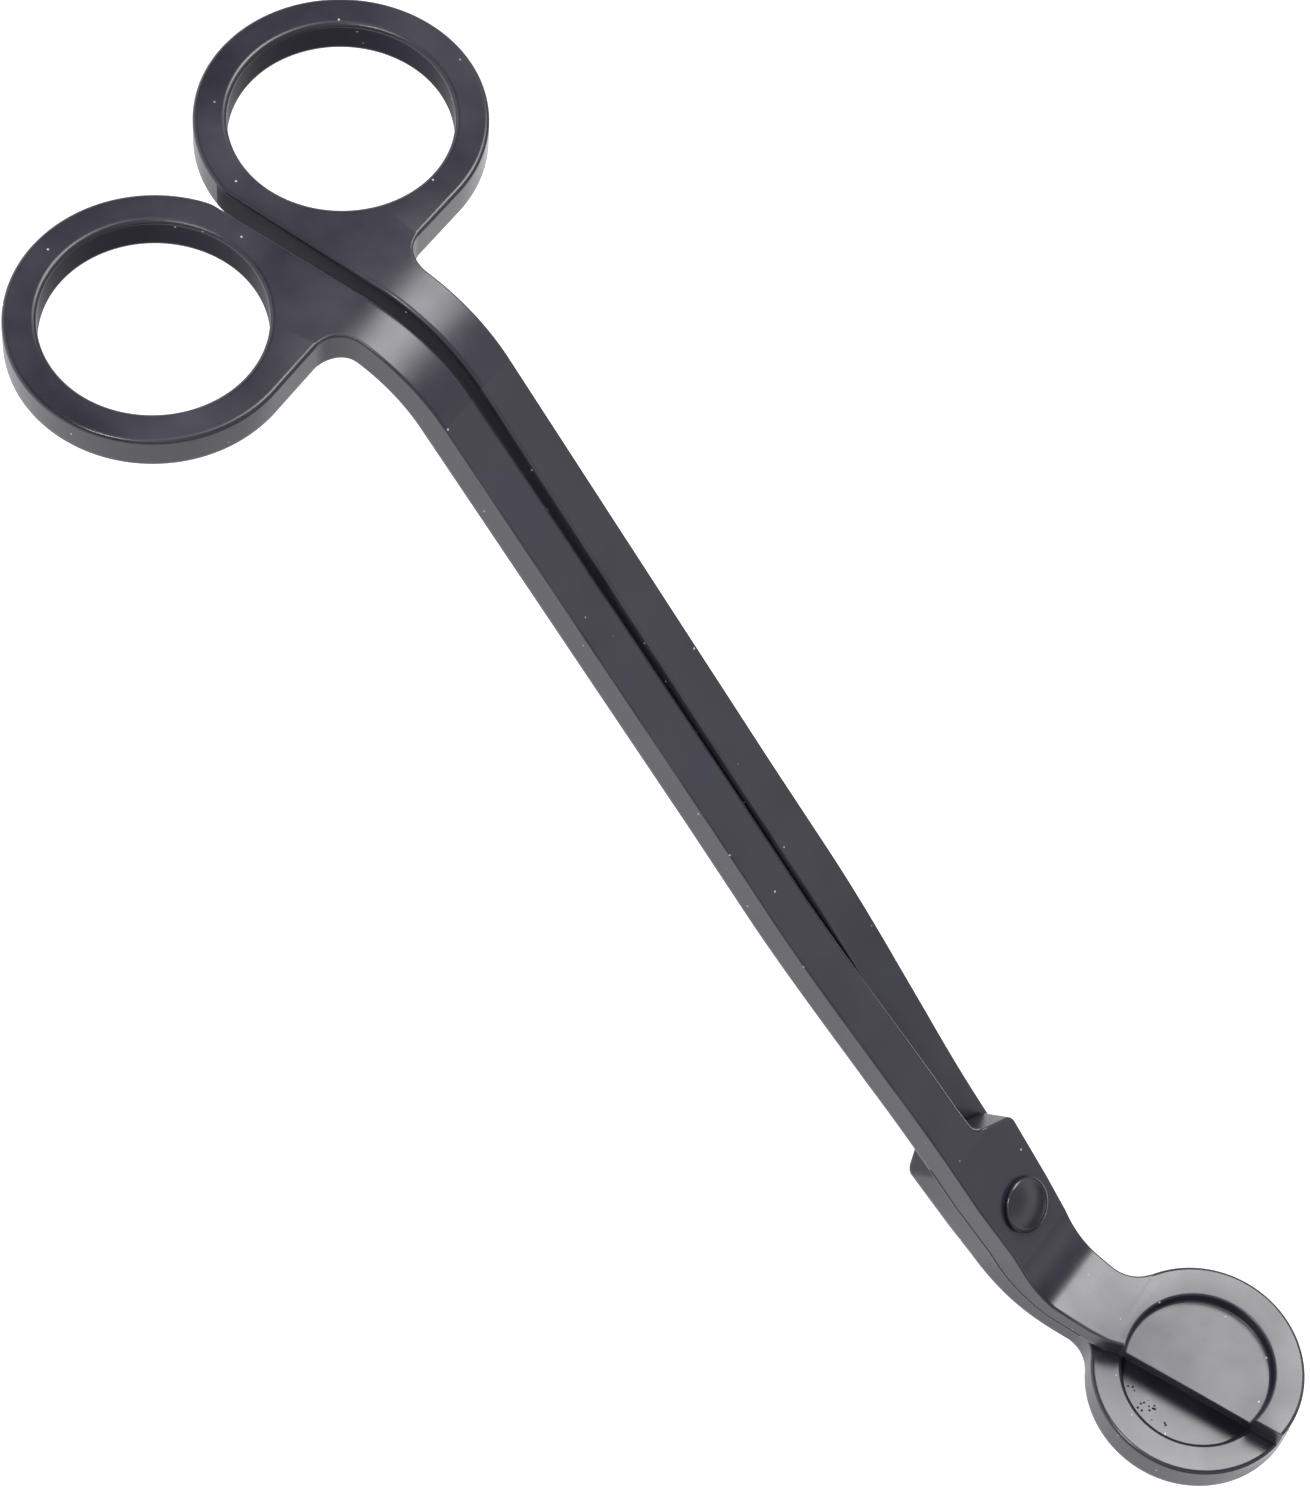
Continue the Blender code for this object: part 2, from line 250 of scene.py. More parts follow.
# The sweep shines by itself, so that it stays white.
SWEEP_HALF = 3.0
SWEEP_COLOUR = (0.26, 0.26, 0.26, 1.0)
SWEEP_ROUGHNESS = 0.9
SWEEP_GLOW = (0.985, 0.965, 1.0, 1.0)
SWEEP_GLOW_STRENGTH = 1.10

# Both lights stand this far from the origin, in metres.
LIGHT_DISTANCE = 1.0

# Camera, aimed at a point near the middle of the box.
AIM_OFFSET = (-0.01226, -0.00189, 0.0)
CAMERA_AZIMUTH = radians(321.01)
CAMERA_ELEVATION = radians(55.22)
CAMERA_ROLL = radians(84.84)
CAMERA_DISTANCE = 0.62958
CAMERA_LENS = 178.6
CAMERA_SENSOR = 36.0


def rivet_frame():
    """The matrix that carries points from the rivet's own frame, in metres, to the row's."""
    up = -Vector(HINGE["axis"]).normalized()
    across = Vector((0.0, 1.0, 0.0))
    along = across.cross(up)
    turn = Matrix((along, across, up)).transposed().to_4x4()
    return Matrix.Translation(HINGE["pos_m"]) @ turn


# ---------------------------------------------------------------- plan of a lever


def arc(centre, radius, start, stop, step=ARC_STEP):
    """Points on an arc from angle start to angle stop, both ends included."""
    parts = max(1, ceil(abs(stop - start) / step))
    angles = [start + (stop - start) * i / parts for i in range(parts + 1)]
    return [(centre[0] + radius * cos(angle), centre[1] + radius * sin(angle))
            for angle in angles]


def rounded(before, corner, after, radius):
    """The corner of a path, replaced by an arc that is tangent to both sides."""
    tip = Vector(corner)
    to_before = (Vector(before) - tip).normalized()
    to_after = (Vector(after) - tip).normalized()
    half = acos(to_before.dot(to_after)) / 2
    middle = (to_before + to_after).normalized()
    centre = tip + middle * (radius / sin(half))
    reach = radius / (sin(half) / cos(half))
    first = tip + to_before * reach - centre
    last = tip + to_after * reach - centre
    start = atan2(first.y, first.x)
    turn = atan2(first.x * last.y - first.y * last.x, first.dot(last))
    return arc(centre, radius, start, start + turn, CORNER_STEP)


def cut_line(u):
    """Height v of the straight cutting edge at u."""
    return CUT_START[1] + CUT_SLOPE * (u - CUT_START[0])


def cut_end_angle():
    """Angle on the disc at which the cutting edge leaves it."""
    offset = (cut_line(DISC_U) - DISC_V) / sqrt(1 + CUT_SLOPE ** 2)
    return atan2(CUT_SLOPE, 1) + atan2(offset, sqrt(DISC_RADIUS ** 2 - offset ** 2))


def neck_fillet():
    """Centre of the arc between the neck's edge and the disc, and its end angle."""
    rise = NECK_V + NECK_FILLET - DISC_V
    run = sqrt((DISC_RADIUS + NECK_FILLET) ** 2 - rise ** 2)
    centre = (DISC_U - run, NECK_V + NECK_FILLET)
    return centre, atan2(rise, -run)


def lever_outline():
    """The front lever in plan, as one loop that runs anticlockwise.

    The second result is the rounding of each side of the loop's edge.
    """
    fillet_centre, meet = neck_fillet()
    ring = (RING_U, RING_V)
    corner_angle = atan2(INNER_EDGE_END[1] - RING_V, INNER_EDGE_END[0] - RING_U)
    pieces = [
        (arc((DISC_U, DISC_V), DISC_RADIUS, cut_end_angle(), meet), DISC_EDGE_ROUND),
        (arc(fillet_centre, NECK_FILLET, meet - pi, -pi / 2)[1:], EDGE_ROUND),
        (list(reversed(BOSS_EDGE)), EDGE_ROUND),
        (rounded(BOSS_EDGE[0], NOTCH_OUTER, NOTCH_INNER, NOTCH_OUTER_ROUND), EDGE_ROUND),
        (rounded(NOTCH_OUTER, NOTCH_INNER, INNER_EDGE[0], NOTCH_INNER_FILLET),
         INNER_EDGE_ROUND),
        (list(INNER_EDGE), INNER_EDGE_ROUND),
        (arc(ring, RING_OUTER, corner_angle, 2 * pi), RING_EDGE_ROUND),
        (rounded((CROTCH_U, RING_V), (CROTCH_U, CROTCH_V), OUTER_EDGE[0], CROTCH_FILLET),
         EDGE_ROUND),
        (list(OUTER_EDGE), EDGE_ROUND),
        (list(NECK_OUTER_EDGE), EDGE_ROUND),
        ([CUT_START], CUT_EDGE_ROUND),
    ]
    loop = []
    rounding = []
    for points, radius in pieces:
        loop.extend(points)
        rounding.extend([radius] * len(points))
    # The side that leaves the disc's last point belongs to the neck's fillet.
    rounding[len(pieces[0][0]) - 1] = EDGE_ROUND
    return loop, rounding


def inset(loop, distances):
    """The loop moved inwards, each side by its own distance."""
    moved = []
    count = len(loop)
    for i in range(count):
        here = Vector(loop[i])
        into = (here - Vector(loop[i - 1])).normalized()
        out = (Vector(loop[(i + 1) % count]) - here).normalized()
        # The inward directions of the two sides that meet here, and how far each one moves.
        before = Vector((-into.y, into.x))
        after = Vector((-out.y, out.x))
        step_before = distances[i - 1]
        step_after = distances[i]
        cross = before.x * after.y - before.y * after.x
        if abs(cross) < NEARLY_STRAIGHT:
            shift = (before + after) * ((step_before + step_after) / 2 / (1 + before.dot(after)))
        else:
            shift = Vector((step_before * after.y - step_after * before.y,
                            step_after * before.x - step_before * after.x)) / cross
        moved.append((here.x + shift.x, here.y + shift.y))
    return moved


def circle(centre, radius, sides):
    """A closed loop of equal sides."""
    return arc(centre, radius, 0, 2 * pi, 2 * pi / sides)[:-1]


def inside(points, loop):
    """True for each point that lies in the loop."""
    hit = np.zeros(len(points), bool)
    for (u0, v0), (u1, v1) in zip(loop, loop[1:] + loop[:1]):
        if v0 == v1:
            continue
        spans = (v0 > points[:, 1]) != (v1 > points[:, 1])
        hit ^= spans & (points[:, 0] < u0 + (u1 - u0) * (points[:, 1] - v0) / (v1 - v0))
    return hit


def edge_distance(points, loop, rounding):
    """Distance from each point to the loop, and the rounding of the nearest side."""
    best = np.full(len(points), np.inf)
    nearest = np.zeros(len(points))
    for i, (start, stop) in enumerate(zip(loop, loop[1:] + loop[:1])):
        side = np.subtract(stop, start)
        along = np.clip((points - start) @ side / (side @ side), 0.0, 1.0)
        far = np.linalg.norm(points - start - along[:, None] * side, axis=1)
        closer = far < best - TIE_MARGIN
        best = np.where(closer, far, best)
        nearest = np.where(closer, rounding[i], nearest)
    return best, nearest


def round_drop(distance, radius):
    """How far a rounded edge has fallen at each distance inside its outline."""
    rest = radius - np.clip(distance, 0.0, radius)
    return radius - np.sqrt(np.maximum(radius * radius - rest * rest, 0.0))


def quarter_turn():
    """Angles from 0 to 90 degrees, for the small arcs of the tray's wall."""
    return [pi / 2 * i / TRAY_ARC_PARTS for i in range(TRAY_ARC_PARTS + 1)]


def tray_cove(floor_edge):
    """The hollow corner between the tray's floor and its wall."""
    return [(floor_edge - TRAY_COVE * (1 - sin(angle)), TRAY_DEPTH - TRAY_COVE * (1 - cos(angle)))
            for angle in quarter_turn()]


def tray_lip():
    """The rounded edge between the tray's wall and the disc's face."""
    return [(TRAY_RADIUS + TRAY_LIP * (1 - cos(angle)), TRAY_LIP * (1 - sin(angle)))
            for angle in quarter_turn()]


def tray_profile():
    """Radius and depth across the tray's wall, from its floor out to the disc's face."""
    floor_edge = TRAY_RADIUS - TRAY_DRAFT
    inner = [(floor_edge - TRAY_COVE - EDGE_SUPPORT, TRAY_DEPTH)]
    outer = [(TRAY_RADIUS + TRAY_LIP + TRAY_LINE, 0.0)]
    return inner + tray_cove(floor_edge) + tray_lip() + outer


def stations():
    """Places along u where the bar needs a row of points so that it can bend."""
    rows = []
    for start, angle, radius in ((NECK_BEND_U, NECK_BEND_ANGLE, NECK_BEND_RADIUS),
                                 (RING_BEND_U, -RING_BEND_ANGLE, RING_BEND_RADIUS)):
        parts = ceil(abs(angle) / BEND_STEP)
        rows += [start + angle * radius * i / parts for i in range(parts + 1)]
        rows += [start - copysign(BEND_SUPPORT, angle)]
        rows += [start + angle * radius + copysign(BEND_SUPPORT, angle)]
    step = (STEP_END_U - STEP_START_U) / STEP_PARTS
    rows += [STEP_START_U + step * i for i in range(STEP_PARTS + 1)]
    fall = RELIEF_FALL / RELIEF_PARTS
    rows += [RELIEF_PEAK_U + fall * (i + 0.5) for i in range(RELIEF_PARTS)]
    return sorted(rows)


def support_loops(outline, rounding):
    """Loops that the plan's triangles follow along the rounded edges and in the tray."""
    ring = (RING_U, RING_V)
    loops = []
    for i in range(1, EDGE_STEPS + 1):
        share = 1 - cos(pi / 2 * i / EDGE_STEPS)
        loops.append(inset(outline, [share * r for r in rounding]))
        loops.append(circle(ring, RING_HOLE + share * RING_HOLE_ROUND, RING_HOLE_SIDES))
    loops.append(inset(outline, [r + EDGE_SUPPORT for r in rounding]))
    loops.append(circle(ring, RING_HOLE + RING_HOLE_ROUND + EDGE_SUPPORT, RING_HOLE_SIDES))
    for radius, _ in tray_profile():
        loops.append(circle((DISC_U, DISC_V), radius, TRAY_SIDES))
    return loops


def triangulated(loops):
    """Places and triangles that follow the loops and the stations."""
    points = []
    sides = []
    for loop in loops:
        first = len(points)
        points += [Vector(p) for p in loop]
        sides += [(first + i, first + (i + 1) % len(loop)) for i in range(len(loop))]
    for u in stations():
        sides.append((len(points), len(points) + 1))
        points += [Vector((u, v)) for v in PLAN_REACH]
    found, _, corners, _, _, _ = delaunay_2d_cdt(points, sides, [], 0, SAME_POINT)
    return np.array([(p.x, p.y) for p in found]), np.array(corners)


def plan_mesh():
    """The lever in plan: places, triangles, and each place's fall and wear at the edge."""
    outline, rounding = lever_outline()
    rivet_hole = circle((0.0, 0.0), RIVET_HOLE_RADIUS, RIVET_SIDES)
    ring_hole = circle((RING_U, RING_V), RING_HOLE, RING_HOLE_SIDES)
    loops = [outline, rivet_hole, ring_hole] + support_loops(outline, rounding)
    places, triangles = triangulated(loops)
    middles = places[triangles].mean(axis=1)
    solid = inside(middles, outline) & ~inside(middles, rivet_hole) & ~inside(middles, ring_hole)
    triangles = triangles[solid]
    used = np.unique(triangles)
    renumber = np.full(len(places), -1)
    renumber[used] = np.arange(len(used))
    places = places[used]
    triangles = renumber[triangles]

    distance, radius = edge_distance(places, outline, rounding)
    from_hole = np.hypot(places[:, 0] - RING_U, places[:, 1] - RING_V) - RING_HOLE
    hole_round = np.full(len(places), RING_HOLE_ROUND)
    drops = round_drop(distance, radius) + round_drop(from_hole, hole_round)
    edge = np.where(places[:, 0] > RING_BEND_U, 1 - distance / (radius * WEAR_REACH), 0.0)
    return places, triangles, drops, np.clip(edge, 0.0, 1.0)


def tray_depths(places):
    """How far the disc's face has fallen at each place, because of its tray."""
    radii, depths = zip(*tray_profile())
    away = np.hypot(places[:, 0] - DISC_U, places[:, 1] - DISC_V)
    return np.interp(away, radii, depths)


# ---------------------------------------------------------------- bending the bar


def smooth_rise(u, start, end):
    """0 before start and 1 past end, with a smooth rise between them."""
    share = min(1.0, max(0.0, (u - start) / (end - start)))
    return share * share * (3 - 2 * share)


def step_share(u):
    """0 near the rivet, where the levers are stacked, and 1 along the handles."""
    return smooth_rise(u, STEP_START_U, STEP_END_U)


def relief(u):
    """Depth of the rear lever's set-back neck."""
    reach = RELIEF_RISE if u < RELIEF_PEAK_U else RELIEF_FALL
    share = min(1.0, abs(u - RELIEF_PEAK_U) / reach)
    return RELIEF_DEPTH * cos(pi / 2 * share) ** 2


def thinning(u):
    """How much thinner the front lever is than the bar."""
    return BLADE_THINNING * smooth_rise(u, THINNING_START_U, THINNING_END_U)


def front_faces(u):
    """Heights of the front lever's underside and top."""
    middle = (THICKNESS + FACE_GAP) / 2 * (1 - step_share(u))
    return middle - THICKNESS / 2, middle + THICKNESS / 2 - thinning(u)


def rear_faces(u):
    """Heights of the rear lever's underside and top."""
    middle = -(THICKNESS + FACE_GAP) / 2 * (1 - step_share(u)) - relief(u)
    return middle - THICKNESS / 2, middle + THICKNESS / 2


def bend(u, v, w):
    """A point of the flat bar, carried to its place on the bent bar."""
    side = 1 if u > 0 else -1
    start = NECK_BEND_U if u > 0 else RING_BEND_U
    angle = NECK_BEND_ANGLE if u > 0 else RING_BEND_ANGLE
    radius = NECK_BEND_RADIUS if u > 0 else RING_BEND_RADIUS
    past = side * (u - start)
    if past <= 0:
        return Vector((u, v, w))
    turn = min(past / radius, angle)
    straight = max(past - angle * radius, 0.0)
    x = start + side * (radius * sin(turn) + straight * cos(turn))
    z = side * (radius * (1 - cos(turn)) + straight * sin(turn))
    return Vector((x - w * sin(turn), v, z + w * cos(turn)))


def on_tray_wall(middles):
    """Numbers of the faces on the tray's wall, on its two arcs and just outside them."""
    away = np.hypot(middles[:, 0] - DISC_U, middles[:, 1] - DISC_V)
    inner = TRAY_RADIUS - TRAY_DRAFT - TRAY_COVE
    outer = TRAY_RADIUS + TRAY_LIP + TRAY_LINE
    return [int(i) for i in np.flatnonzero((away > inner) & (away < outer))]


def gets_painted_shade(place, lowest, mirrored):
    """True on the walls that get painted shade: inside the ring, between the handles, and in the
    seam at the rivet.

    The seam is the lowest band of the front lever's wall, which is the one not mirrored.
    """
    u, v = place
    in_hole = hypot(u - RING_U, v - RING_V) < RING_HOLE + EDGE_ROUND
    between = u < NOTCH_INNER[0] and v > PAINTED_SHADE_V
    seam = lowest and not mirrored and SEAM_START_U < u < SEAM_END_U and v < 0
    return in_hole or between or seam


def lever_points(plan, heights, hand):
    """The points of a lever: the whole plan once for each row of its walls."""
    places, _, drops, _ = plan
    trays = tray_depths(places)
    to_row = rivet_frame()
    points = []
    for side, support in WALL_ROWS:
        for (u, v), drop, tray in zip(places, drops, trays):
            underside, top = heights(u)
            w = top - drop - tray - support if side == 1 else underside + drop + support
            points.append(to_row @ (bend(u, hand * v, w) * MM))
    return points


def lever_faces(plan, mirrored):
    """The faces of a lever, and the numbers of the ones that get painted shade."""
    places, triangles, _, _ = plan
    count = len(places)
    bands = len(WALL_ROWS) - 1
    under = bands * count
    upper = [tuple(int(i) for i in t) for t in triangles]
    faces = upper + [(c + under, b + under, a + under) for a, b, c in upper]
    # The rear tray's wall and lip, with a strip beside them, get painted shade.
    painted_shade = on_tray_wall(places[triangles].mean(axis=1)) if mirrored else []
    edges = {(t[i], t[(i + 1) % 3]) for t in upper for i in range(3)}
    for a, b in sorted(edges):
        if (b, a) not in edges:
            middle = (places[a] + places[b]) / 2
            for band in range(bands):
                if gets_painted_shade(middle, band == bands - 1, mirrored):
                    painted_shade.append(len(faces))
                row = band * count
                faces.append((a + row + count, b + row + count, b + row, a + row))
    if mirrored:
        faces = [tuple(reversed(face)) for face in faces]
    return faces, painted_shade


def lever(name, plan, heights, mirrored):
    """One lever, as a closed shell over its plan, in the row's frame."""
    edge = plan[3]
    unworn = np.zeros(len(edge))
    faces, painted_shade = lever_faces(plan, mirrored)
    mesh = bpy.data.meshes.new(name)
    mesh.from_pydata(lever_points(plan, heights, -1 if mirrored else 1), [], faces)
    # Material 1 is the copy of the coating that paints shade on these faces.
    for i in painted_shade:
        mesh.polygons[i].material_index = 1
    wear = mesh.attributes.new("edge", "FLOAT", "POINT")
    wear.data.foreach_set("value", np.concatenate((edge, unworn, unworn, edge)))
    drop_loose_points(mesh)
    return finish_mesh(name, mesh)


def drop_loose_points(mesh):
    """Removes the points that no face uses."""
    shape = bmesh.new()
    shape.from_mesh(mesh)
    loose = [point for point in shape.verts if not point.link_faces]
    bmesh.ops.delete(shape, geom=loose, context="VERTS")
    shape.to_mesh(mesh)
    shape.free()


def finish_mesh(name, mesh):
    """Smooth shading for one finished mesh, and the object that shows it."""
    mesh.shade_smooth()
    mesh.set_sharp_from_angle(angle=SMOOTH_ANGLE)
    thing = bpy.data.objects.new(name, mesh)
    bpy.context.scene.collection.objects.link(thing)
    return thing


# ---------------------------------------------------------------- the rivet


def rivet_head(top):
    """Radius and height of the head: a domed crown and a shoulder that turns down."""
    rise = HEAD_HEIGHT - HEAD_RIM
    dome = (HEAD_RADIUS ** 2 + rise ** 2) / (2 * rise)
    crown = atan2(HEAD_RADIUS, dome - rise) * HEAD_CROWN / HEAD_RADIUS
    profile = []
    for i in range(CROWN_PARTS + 1):
        angle = crown * i / CROWN_PARTS
        profile.append((dome * sin(angle), top + HEAD_HEIGHT - dome * (1 - cos(angle))))
    crown_radius, crown_height = profile[-1]
    lean = crown / (pi / 2)
    for i in range(1, SHOULDER_PARTS + 1):
        angle = pi / 2 * (lean + (1 - lean) * i / SHOULDER_PARTS)
        out = (sin(angle) - sin(crown)) / (1 - sin(crown))
        down = (cos(crown) - cos(angle)) / cos(crown)
        profile.append((crown_radius + (HEAD_RADIUS - crown_radius) * out,
                        crown_height - (crown_height - top - HEAD_SIDE) * down))
    return profile


def rivet_profile():
    """Radius and height of the rivet, from the top of its head to its tail."""
    # Half the gap between the levers, a lever, and a whole gap under the head.
    top = THICKNESS + 1.5 * FACE_GAP
    end = -top - TAIL_HEIGHT
    head_foot = [
        (HEAD_RADIUS, top + UNDER_CHAMFER),
        (HEAD_RADIUS - UNDER_CHAMFER, top),
    ]
    tail = [
        (TAIL_RADIUS - UNDER_CHAMFER, -top),
        (TAIL_RADIUS, -top - UNDER_CHAMFER),
        (TAIL_RADIUS, end + TAIL_CHAMFER),
        (TAIL_RADIUS - TAIL_CHAMFER, end),
        (0.0, end),
    ]
    shank = [(RIVET_RADIUS, top), (RIVET_RADIUS, -top)]
    return rivet_head(top) + head_foot + shank + tail


def rivet(name):
    """The rivet: a turned piece on the axis that the levers share."""
    shape = bmesh.new()
    points = [shape.verts.new((r * MM, 0.0, w * MM)) for r, w in rivet_profile()]
    sides = [shape.edges.new(pair) for pair in zip(points, points[1:])]
    bmesh.ops.spin(shape, geom=points + sides, cent=(0, 0, 0), axis=(0, 0, 1), angle=2 * pi,
                   steps=RIVET_SIDES, use_merge=True, use_duplicate=False)
    bmesh.ops.remove_doubles(shape, verts=shape.verts, dist=WELD_DISTANCE)
    bmesh.ops.recalc_face_normals(shape, faces=shape.faces)
    shape.transform(rivet_frame())
    mesh = bpy.data.meshes.new(name)
    shape.to_mesh(mesh)
    shape.free()
    wear = mesh.attributes.new("edge", "FLOAT", "POINT")
    wear.data.foreach_set("value", np.zeros(len(mesh.vertices)))
    return finish_mesh(name, mesh)


# ---------------------------------------------------------------- materials


def feed(tree, value, socket):
    """Joins an output to the socket, or sets the socket to a plain value."""
    if isinstance(value, bpy.types.NodeSocket):
        tree.links.new(value, socket)
    else:
        socket.default_value = value


def node(tree, kind, at, **inputs):
    """A shader node at a place in the node editor, with some sockets joined or set."""
    made = tree.nodes.new(kind)
    made.location = at
    for name, value in inputs.items():
        feed(tree, value, made.inputs[name.replace("_", " ")])
    return made


def noise(tree, place, pattern, at):
    """Noise with a number of features per metre and steps of detail."""
    made = node(tree, "ShaderNodeTexNoise", at, Vector=place, Scale=pattern[0],
                Detail=pattern[1], Roughness=NOISE_ROUGHNESS)
    return made.outputs["Fac"]


def dots(tree, place, scale, at):
    """Distance to the nearest of many random dots, in the dots' spacings."""
    made = node(tree, "ShaderNodeTexVoronoi", at, Vector=place, Scale=scale)
    return made.outputs["Distance"]


def spread(tree, value, low, high, at, clamp=NOISE_RANGE):
    """A value carried from the clamp's range to low..high."""
    made = node(tree, "ShaderNodeMapRange", at, Value=value, From_Min=clamp[0],
                From_Max=clamp[1], To_Min=low, To_Max=high)
    return made.outputs["Result"]


def maths(tree, operation, at, *values):
    """The result of one operation on some values."""
    made = node(tree, "ShaderNodeMath", at)
    made.operation = operation
    for value, socket in zip(values, made.inputs):
        feed(tree, value, socket)
    return made.outputs["Value"]


def mixed(tree, factor, first, second, at):
    """The first colour where the factor is 0, and the second where it is 1."""
    made = node(tree, "ShaderNodeMix", at)
    made.data_type = "RGBA"
    for name, value in (("Factor", factor), ("A", first), ("B", second)):
        feed(tree, value, made.inputs[name])
    return made.outputs["Result"]


def bumped(tree, height, bump, at, **below):
    """The normal after a bump, which may lie over the normal of another one."""
    made = node(tree, "ShaderNodeBump", at, Height=height, Strength=bump[0], Distance=bump[1],
                **below)
    return made.outputs["Normal"]


def away_from_spot(tree, place, spot, at):
    """0 over one pitted spot of the rear tray's floor, and 1 away from it."""
    u, v, reach = spot
    x, y = at
    middle = rivet_frame() @ (bend(u, -v, rear_faces(u)[1] - TRAY_DEPTH) * MM)
    away = node(tree, "ShaderNodeVectorMath", at)
    away.operation = "DISTANCE"
    feed(tree, place, away.inputs[0])
    feed(tree, middle, away.inputs[1])
    return spread(tree, away.outputs["Value"], 0.0, 1.0, (x + 250, y),
                  (reach * MM * PIT_CORE, reach * MM))


def away_from_pits(tree, place):
    """0 over every pitted spot of the rear tray's floor, and 1 elsewhere."""
    shares = [away_from_spot(tree, place, spot, (-1200, -1200 - 200 * i))
              for i, spot in enumerate(PIT_SPOTS)]
    least = shares[0]
    for i, share in enumerate(shares[1:], start=1):
        least = maths(tree, "MINIMUM", (-800, -1200 - 200 * i), least, share)
    return least


def coating_colour(tree, place, smears, swell, wear, dark, light):
    """Black with smears, lighter where the edges are worn, and with specks of dust."""
    smeared = mixed(tree, spread(tree, smears, 0.0, 1.0, (-950, 300)), dark, light, (-700, 300))
    patchy = spread(tree, swell, 0.0, WEAR_MOST, (-950, 780))
    worn = maths(tree, "MULTIPLY", (-700, 600), wear, patchy)
    edged = mixed(tree, worn, smeared, WEAR_COLOUR, (-450, 400))
    dust = spread(tree, dots(tree, place, DUST_SCALE, (-1200, 900)), 1.0, 0.0, (-950, 900),
                  DUST_RANGE)
    return mixed(tree, dust, edged, DUST_COLOUR, (-250, 400))


def coating_roughness(tree, smears, wear, roughness):
    """Roughness that varies with the smears and is lower on worn edges."""
    smeared = spread(tree, smears, roughness - SMEAR_POLISH, roughness + SMEAR_HAZE, (-700, 0))
    return maths(tree, "MULTIPLY_ADD", (-450, 0), wear, -WEAR_POLISH, smeared)


def coating_normal(tree, place, swell):
    """Pits, a slow swell and a fine grain, as bumps that lie over each other."""
    pits = spread(tree, dots(tree, place, PIT_SCALE, (-1200, -900)), 0.0, 1.0, (-950, -900),
                  PIT_RANGE)
    pitted = maths(tree, "MAXIMUM", (-700, -800), pits, away_from_pits(tree, place))
    grain = noise(tree, place, GRAIN, (-1200, -200))
    normal = bumped(tree, pitted, PIT_BUMP, (-600, -600))
    normal = bumped(tree, swell, SWELL_BUMP, (-450, -400), Normal=normal)
    return bumped(tree, grain, GRAIN_BUMP, (-250, -250), Normal=normal)


def satin_black(name, dark, light, roughness, specular=USUAL_SPECULAR):
    """Satin black coating over steel, with faint grain, smears and worn edges."""
    made = bpy.data.materials.new(name)
    made.use_nodes = True
    tree = made.node_tree
    shader = tree.nodes["Principled BSDF"]
    shader.inputs["IOR"].default_value = COATING_IOR
    shader.inputs["Metallic"].default_value = 0.0
    shader.inputs["Specular IOR Level"].default_value = specular

    place = node(tree, "ShaderNodeTexCoord", (-1400, 0)).outputs["Object"]
    edge = node(tree, "ShaderNodeAttribute", (-950, 600))
    edge.attribute_name = "edge"
    wear = edge.outputs["Fac"]
    smears = noise(tree, place, SMEARS, (-1200, 200))
    swell = noise(tree, place, SWELL, (-1200, -500))

    colour = coating_colour(tree, place, smears, swell, wear, dark, light)
    tree.links.new(colour, shader.inputs["Base Color"])
    tree.links.new(coating_roughness(tree, smears, wear, roughness), shader.inputs["Roughness"])
    tree.links.new(coating_normal(tree, place, swell), shader.inputs["Normal"])
    return made


# ---------------------------------------------------------------- stage


def direction(azimuth, elevation):
    """The unit vector towards a place in the studio; azimuth 0 is at -Y, and 90 at +X."""
    turn = radians(azimuth)
    lift = radians(elevation)
    return Vector((sin(turn) * cos(lift), -cos(turn) * cos(lift), sin(lift)))


def softbox(name, azimuth, elevation, width, height, power):
    """A rectangular light that faces the trimmer; angles in degrees, sizes in metres."""
    lamp = bpy.data.lights.new(name, "AREA")
    lamp.shape = "RECTANGLE"
    lamp.size = width
    lamp.size_y = height
    lamp.energy = power
    thing = bpy.data.objects.new(name, lamp)
    towards = direction(azimuth, elevation)
    thing.location = towards * LIGHT_DISTANCE
    thing.rotation_euler = towards.to_track_quat("Z", "Y").to_euler()
    bpy.context.scene.collection.objects.link(thing)


def studio_world():
    """Surroundings that are white in a band, and darker below it and overhead."""
    world = bpy.data.worlds.new("studio")
    world.use_nodes = True
    tree = world.node_tree
    back = tree.nodes["Background"]
    place = node(tree, "ShaderNodeTexCoord", (-900, 0)).outputs["Generated"]
    split = node(tree, "ShaderNodeSeparateXYZ", (-700, 0), Vector=place)
    ramp = node(tree, "ShaderNodeValToRGB", (-500, 0), Fac=split.outputs["Z"])
    stops = ramp.color_ramp.elements
    stops[0].position = SKY[0][0]
    stops[1].position = SKY[-1][0]
    for height, _ in SKY[1:-1]:
        stops.new(height)
    for stop, (_, colour) in zip(stops, SKY):
        stop.color = colour
    tree.links.new(ramp.outputs["Color"], back.inputs["Color"])
    back.inputs["Strength"].default_value = 1.0
    bpy.context.scene.world = world


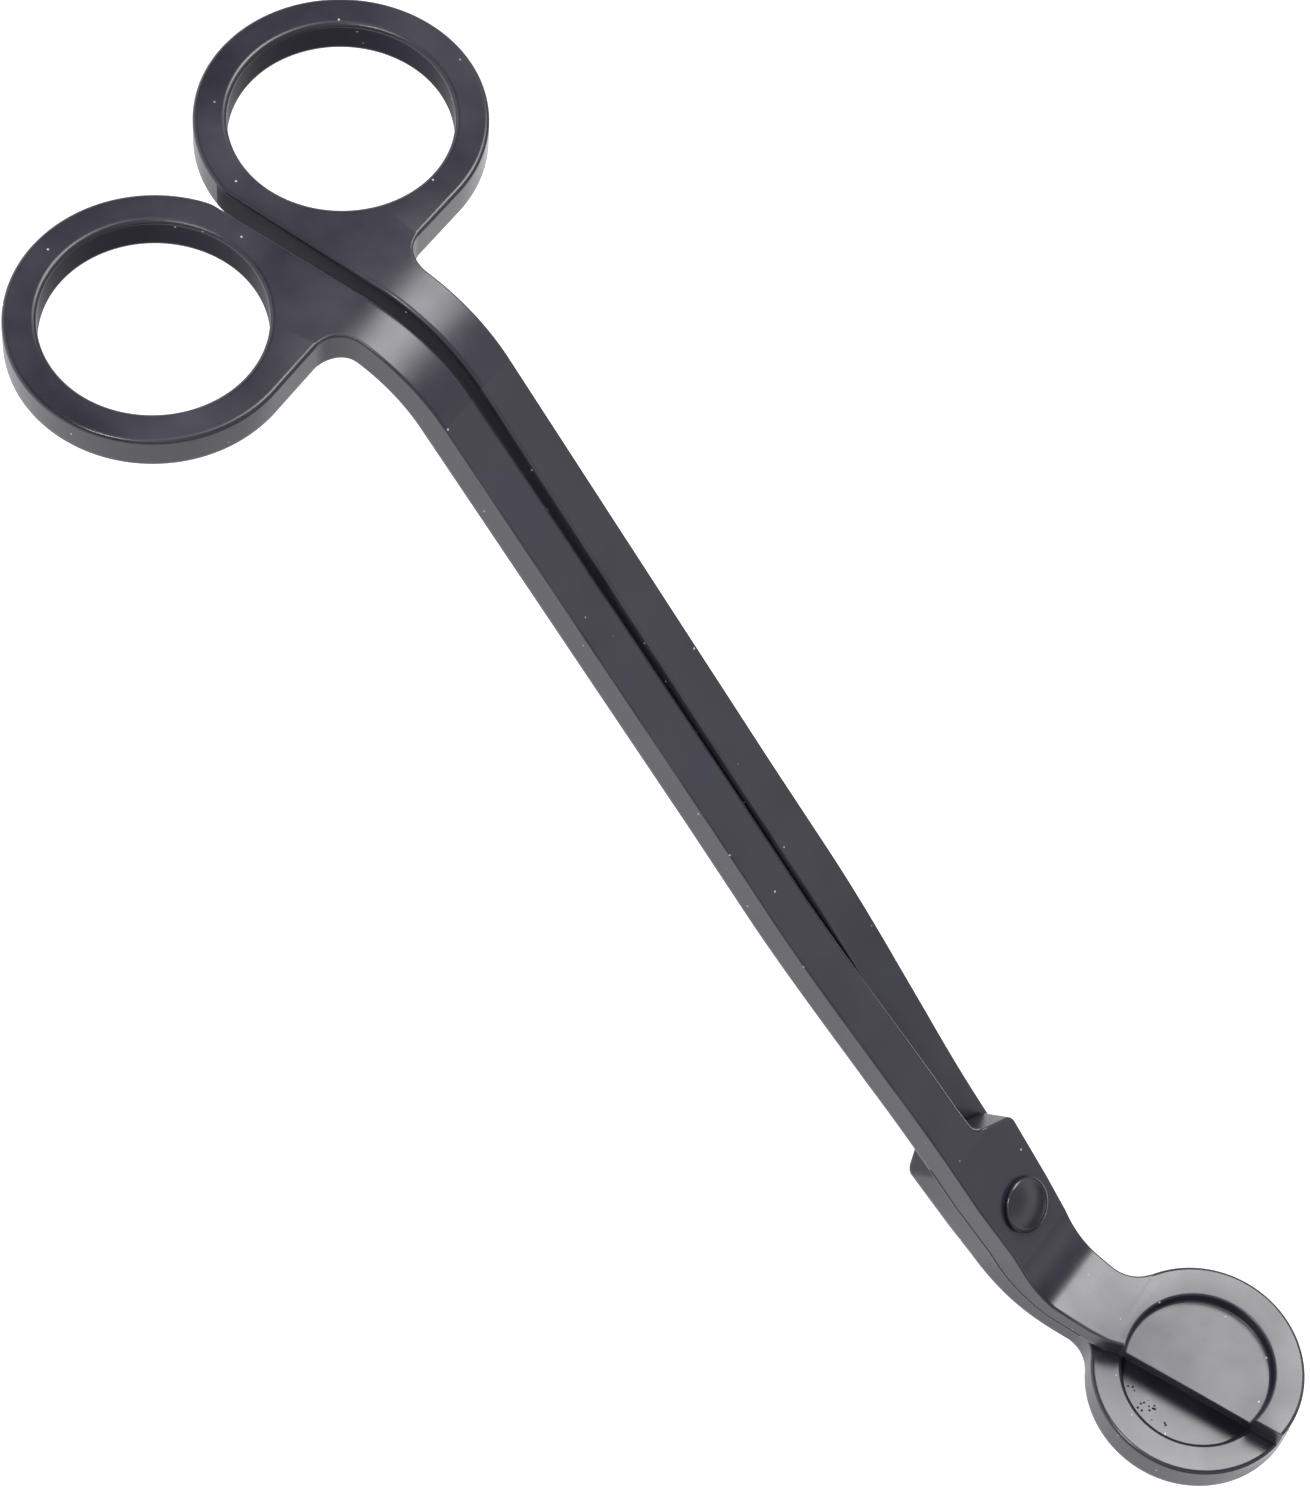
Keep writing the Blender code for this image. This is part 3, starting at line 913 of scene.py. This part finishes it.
def floor():
    """A wide white sweep under the trimmer."""
    mesh = bpy.data.meshes.new("floor")
    half = SWEEP_HALF
    corners = [(-half, -half, 0), (half, -half, 0), (half, half, 0), (-half, half, 0)]
    mesh.from_pydata(corners, [], [(0, 1, 2, 3)])
    thing = bpy.data.objects.new("floor", mesh)
    bpy.context.scene.collection.objects.link(thing)
    paper = bpy.data.materials.new("white_sweep")
    paper.use_nodes = True
    shader = paper.node_tree.nodes["Principled BSDF"]
    shader.inputs["Base Color"].default_value = SWEEP_COLOUR
    shader.inputs["Roughness"].default_value = SWEEP_ROUGHNESS
    shader.inputs["Specular IOR Level"].default_value = 0.0
    shader.inputs["Emission Color"].default_value = SWEEP_GLOW
    shader.inputs["Emission Strength"].default_value = SWEEP_GLOW_STRENGTH
    mesh.materials.append(paper)


def camera():
    """The camera, at the viewing angle of a product photograph from above the rings."""
    lowest, highest = (Vector(corner) for corner in CAD_BOX)
    aim = (lowest + highest) / 2 + Vector(AIM_OFFSET)
    turn = (Matrix.Rotation(CAMERA_AZIMUTH, 4, "Z")
            @ Matrix.Rotation(pi / 2 - CAMERA_ELEVATION, 4, "X")
            @ Matrix.Rotation(CAMERA_ROLL, 4, "Z"))
    lens = bpy.data.cameras.new("camera")
    lens.sensor_fit = "HORIZONTAL"
    lens.sensor_width = CAMERA_SENSOR
    lens.lens = CAMERA_LENS
    thing = bpy.data.objects.new("camera", lens)
    thing.matrix_world = (Matrix.Translation(aim) @ turn
                          @ Matrix.Translation((0.0, 0.0, CAMERA_DISTANCE)))
    bpy.context.scene.collection.objects.link(thing)
    bpy.context.scene.camera = thing


def main():
    """Everything in the scene."""
    camera()
    floor()
    studio_world()
    softbox("key_light", azimuth=224, elevation=49, width=0.50, height=0.50, power=8.8)
    softbox("glint_light", azimuth=311, elevation=36, width=0.12, height=0.20, power=4.0)
    bpy.context.scene.view_settings.view_transform = "Standard"

    plan = plan_mesh()
    coating = satin_black("lever_coating", LEVER_DARK, LEVER_LIGHT, LEVER_ROUGHNESS)
    rivet_coating = satin_black("rivet_coating", RIVET_DARK, RIVET_LIGHT, RIVET_ROUGHNESS)
    # A copy of the lever coating that barely shines paints shade on the walls between the
    # handles, in the rings, in the seam and on the rear tray's wall.
    painted_shade = satin_black("lever_painted_shade", LEVER_DARK, LEVER_LIGHT, PAINTED_SHADE_ROUGHNESS,
                            PAINTED_SHADE_SPECULAR)
    pieces = [
        (lever("front_lever_finish", plan, front_faces, False), (coating, painted_shade),
         "front_half", "front_lever", "lever_coating"),
        (lever("rear_lever_finish", plan, rear_faces, True), (coating, painted_shade),
         "rear_half", "rear_lever", "lever_coating"),
        (rivet("pivot_rivet_finish"), (rivet_coating,),
         "front_half", "pivot_rivet", "rivet_coating"),
    ]
    for piece, materials, body, cad_node, slot in pieces:
        for material in materials:
            piece.data.materials.append(material)
        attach(piece, body)
        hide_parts(cad_node)


main()
